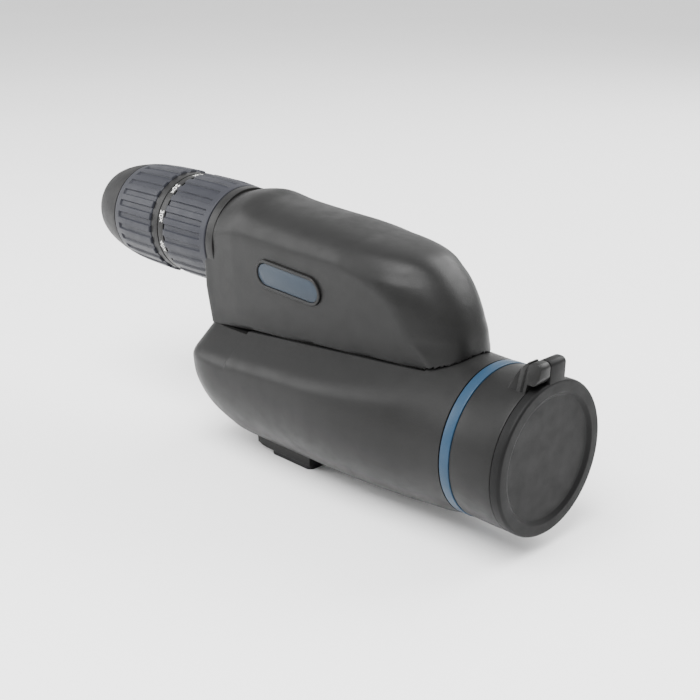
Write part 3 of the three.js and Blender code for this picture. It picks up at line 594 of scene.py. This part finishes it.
def pill_ring(half_length, half_height, proud, steps=24):
    """A pill-shaped loop on the right side wall, standing off it by proud."""
    arc = np.linspace(-math.pi / 2, math.pi / 2, steps)
    straight = half_length - half_height
    u = np.concatenate([straight + half_height * np.cos(arc), -straight - half_height * np.cos(arc)])
    v = np.concatenate([half_height * np.sin(arc), -half_height * np.sin(arc)])
    x = BADGE_X + u * math.cos(BADGE_TILT) + v * math.sin(BADGE_TILT)
    z = BADGE_Z - u * math.sin(BADGE_TILT) + v * math.cos(BADGE_TILT)
    return np.column_stack([x, -wall_width(x, z) - proud, z])


def badge():
    length, height, rim = BADGE_HALF_LENGTH, BADGE_HALF_HEIGHT, BADGE_RIM
    loops = [(0, -0.5), (0, 1.0), (0.35, 1.35), (rim - 0.5, 1.35), (rim - 0.1, 1.0), (rim, -0.5)]
    bezel = skinned("badge_frame", [pill_ring(length - i, height - i, out) for i, out in loops], loop=True)
    stands_for(bezel, "badge_bezel")
    inner = rim + 0.1
    steps = [(inner, -0.5), (inner, 0.55), (inner + 0.3, 0.75)]
    plate = skinned("badge_face", [pill_ring(length - i, height - i, out) for i, out in steps])
    stands_for(plate, "badge_plate")


badge()

# The wear plate under the foot keeps its CAD body, which has the screw and thread holes cut in it.

# ---------- eyepiece ----------
SLEEVE_R = 22.9  # inside of the rings that slide on the eyepiece barrel
BARREL_R, BARREL_BORE_R = 22.6, 20.4
RING_R, GRIP_BORE_R = 26.0, 26.3
COLLAR_FRONT_X, COLLAR_R, COLLAR_NECK_R = -204.3, 27.4, 23.7
INDEX_BACK, INDEX_FRONT, INDEX_R = -257.7, -252.3, 28
SCALE_FRONT, SCALE_R = -247.2, 27.8

collar_back, collar_front = along("eyepiece_collar")
collar_outline = [
    (collar_back, SLEEVE_R), (collar_back, COLLAR_R, 0.5), (COLLAR_FRONT_X, COLLAR_R, 0.4),
    (COLLAR_FRONT_X, COLLAR_NECK_R), (collar_front, COLLAR_NECK_R), (collar_front, SLEEVE_R),
]
stands_for(turned("collar_shell", collar_outline, EYE_Z), "eyepiece_collar")

barrel_back, barrel_front = along("ocular_barrel")
barrel_outline = [
    (barrel_back, BARREL_BORE_R), (barrel_back, BARREL_R), (INDEX_BACK, BARREL_R), (INDEX_BACK, INDEX_R),
    (INDEX_FRONT, INDEX_R), (INDEX_FRONT, BARREL_R), (barrel_front, BARREL_R),
    (barrel_front, BARREL_BORE_R),
]
stands_for(turned("ocular_body", barrel_outline, EYE_Z, 0.25), "ocular_barrel")

scale_back, ring_front = along("zoom_ring")
ring_outline = [
    (scale_back, SLEEVE_R), (scale_back, SCALE_R), (SCALE_FRONT, SCALE_R), (SCALE_FRONT, RING_R),
    (ring_front, RING_R), (ring_front, SLEEVE_R),
]
stands_for(turned("zoom_sleeve", ring_outline, EYE_Z, 0.25), "zoom_ring")

RIBS = 26


def grip(name, node, outline, open_end, closed_end, trough=0.46, depth=0.95):
    """A rubber grip whose troughs run from its open end and stop short of the closed one."""
    back, front = along(node)
    radius_at = profile(outline)
    per_rib = 24
    turns = (np.arange(RIBS * per_rib) + 0.5) / per_rib
    across = np.abs((turns % 1) - 0.5) * 2
    groove = 1 - smooth_step(across, trough - 0.07, trough + 0.07)
    angles = 2 * math.pi * turns / RIBS
    corner = 0.4
    xs = np.unique(np.concatenate([
        [back, back + 0.15, back + corner], np.linspace(back + 0.8, front - 0.8, 70),
        closed_end + np.linspace(-0.6, 0.6, 7), [front - corner, front - 0.15, front],
    ]))
    toward = 1 if open_end > closed_end else -1
    rings = [around(back, GRIP_BORE_R, angles, EYE_Z)]
    for x in xs:
        rounding = corner * (1 - min(1.0, min(x - back, front - x) / corner)) ** 2
        reach = smooth_step((x - closed_end) * toward, -0.4, 0.4)
        rings.append(around(x, radius_at(x) - rounding - depth * groove * reach, angles, EYE_Z))
    rings.append(around(front, GRIP_BORE_R, angles, EYE_Z))
    stands_for(skinned(name, rings, sharp=40, loop=True), node)


zoom_outline = [(-246.9, 28.3), (-245, 28.8), (-225, 28.7), (-210.7, 27.7)]
grip("zoom_rubber", "zoom_grip", zoom_outline, open_end=-246.9, closed_end=-215)
focus_outline = [(-293.8, 27.5), (-286, 28.4), (-274, 29), (-258, 29.3)]
grip("focus_rubber", "focus_grip", focus_outline, open_end=-258, closed_end=-289)


def numerals(text, angle, size, x_middle, radius, body_node, name):
    """Painted figures that run round a band, with their tops towards the eyepiece."""
    curve = bpy.data.curves.new(name, "FONT")
    curve.body = text
    curve.size = size
    curve.align_x = "CENTER"
    curve.align_y = "CENTER"
    curve.extrude = 0.04
    curve.resolution_u = 4
    holder = bpy.data.objects.new(name, curve)
    bpy.context.scene.collection.objects.link(holder)
    bpy.context.view_layer.update()
    flat = bpy.data.meshes.new_from_object(holder)
    bpy.data.objects.remove(holder)
    points = np.array([tuple(v.co) for v in flat.vertices])
    faces = [tuple(p.vertices) for p in flat.polygons]
    proud = 0.02
    r = radius + points[:, 2] + proud
    placed = around(x_middle - points[:, 1], r, angle + points[:, 0] / radius, EYE_Z)
    belongs_to(finish_mesh(name, to_row(placed), faces), body_node, NUMERAL_PAINT)


scale_x = (scale_back + SCALE_FRONT) / 2
FIRST_FIGURE_DEG, FIGURE_STEP_DEG, FIGURE_SIZE = 198, 36, 4.6
for i, figure in enumerate(("40x", "30x", "20x", "15x", "12x")):
    place = math.radians(FIRST_FIGURE_DEG - FIGURE_STEP_DEG * i)
    numerals(figure, place, FIGURE_SIZE, scale_x, SCALE_R, "zoom_ring", f"zoom_figure_{i}")

eyecup_front = along("eyecup")[1]
stands_for(
    turned("eyecup_rubber", [
        (eyecup_front, 24.9), (-304.1, 24.9), (-304.1, 15.5, 0.6), (-311, 16, 3), (-318.2, 17.4, 1.2),
        (-319.6, 18.4, 0.8), (-319.2, 19.9, 0.9), (-317, 21.4, 1.4), (-313, 23.1, 2), (-308, 24.7, 2.4),
        (-302, 26.1, 3), (eyecup_front, 27.5, 0.4),
    ], EYE_Z),
    "eyecup",
)

# ---------- stage, light and camera ----------
FLOOR_SIZE = 8.0
floor_mesh = bpy.data.meshes.new("floor")
half = FLOOR_SIZE / 2
floor_corners = [(-half, -half, 0), (half, -half, 0), (half, half, 0), (-half, half, 0)]
floor_mesh.from_pydata(floor_corners, [], [(0, 1, 2, 3)])
floor = bpy.data.objects.new("floor", floor_mesh)
floor.location.z = cad_bounds[0][2]
bpy.context.scene.collection.objects.link(floor)
floor_finish = Finish("floor_paper", (0.93, 0.93, 0.93), 0.8)
floor_finish.mottle(floor_finish.noise(3, 2), 0.01)
floor_mesh.materials.append(floor_finish.material)

world = bpy.data.worlds.new("studio")
world.use_nodes = True
world.node_tree.nodes["Background"].inputs["Color"].default_value = (1, 1, 1, 1)
world.node_tree.nodes["Background"].inputs["Strength"].default_value = 1.25
bpy.context.scene.world = world


def softbox(name, place, target, size, power):
    light = bpy.data.lights.new(name, "AREA")
    light.shape = "RECTANGLE"
    light.size, light.size_y = size
    light.energy = power
    lamp = bpy.data.objects.new(name, light)
    lamp.location = place
    lamp.rotation_euler = (Vector(target) - Vector(place)).to_track_quat("-Z", "Y").to_euler()
    bpy.context.scene.collection.objects.link(lamp)


middle = (cad_bounds[0] + cad_bounds[1]) / 2
softbox("key", (0.2, -0.7, 1.5), middle, (1.2, 1.2), 64)
softbox("fill", (-1.2, -0.9, 0.7), middle, (1.0, 1.0), 20)
softbox("rim", (0.3, 1.3, 1.1), middle, (1.4, 0.8), 34)

AZIMUTH, ELEVATION, ROLL = (math.radians(v) for v in (45.15, 19.75, 0.35))
CAMERA_PLACE = Vector((283.8, -409.5, 227.3)) * MM
level = math.cos(ELEVATION)
back = Vector((math.sin(AZIMUTH) * level, -math.cos(AZIMUTH) * level, math.sin(ELEVATION)))
right = Vector((math.cos(AZIMUTH), math.sin(AZIMUTH), 0))
up = back.cross(right)
right, up = (right * math.cos(ROLL) + up * math.sin(ROLL), up * math.cos(ROLL) - right * math.sin(ROLL))
camera_data = bpy.data.cameras.new("camera")
camera_data.sensor_width = 36
camera_data.lens = 61.7
camera = bpy.data.objects.new("camera", camera_data)
facing = Matrix((right, up, back)).transposed().to_4x4()
camera.matrix_world = Matrix.Translation(CAMERA_PLACE + ORIGIN) @ facing
bpy.context.scene.collection.objects.link(camera)
bpy.context.scene.camera = camera
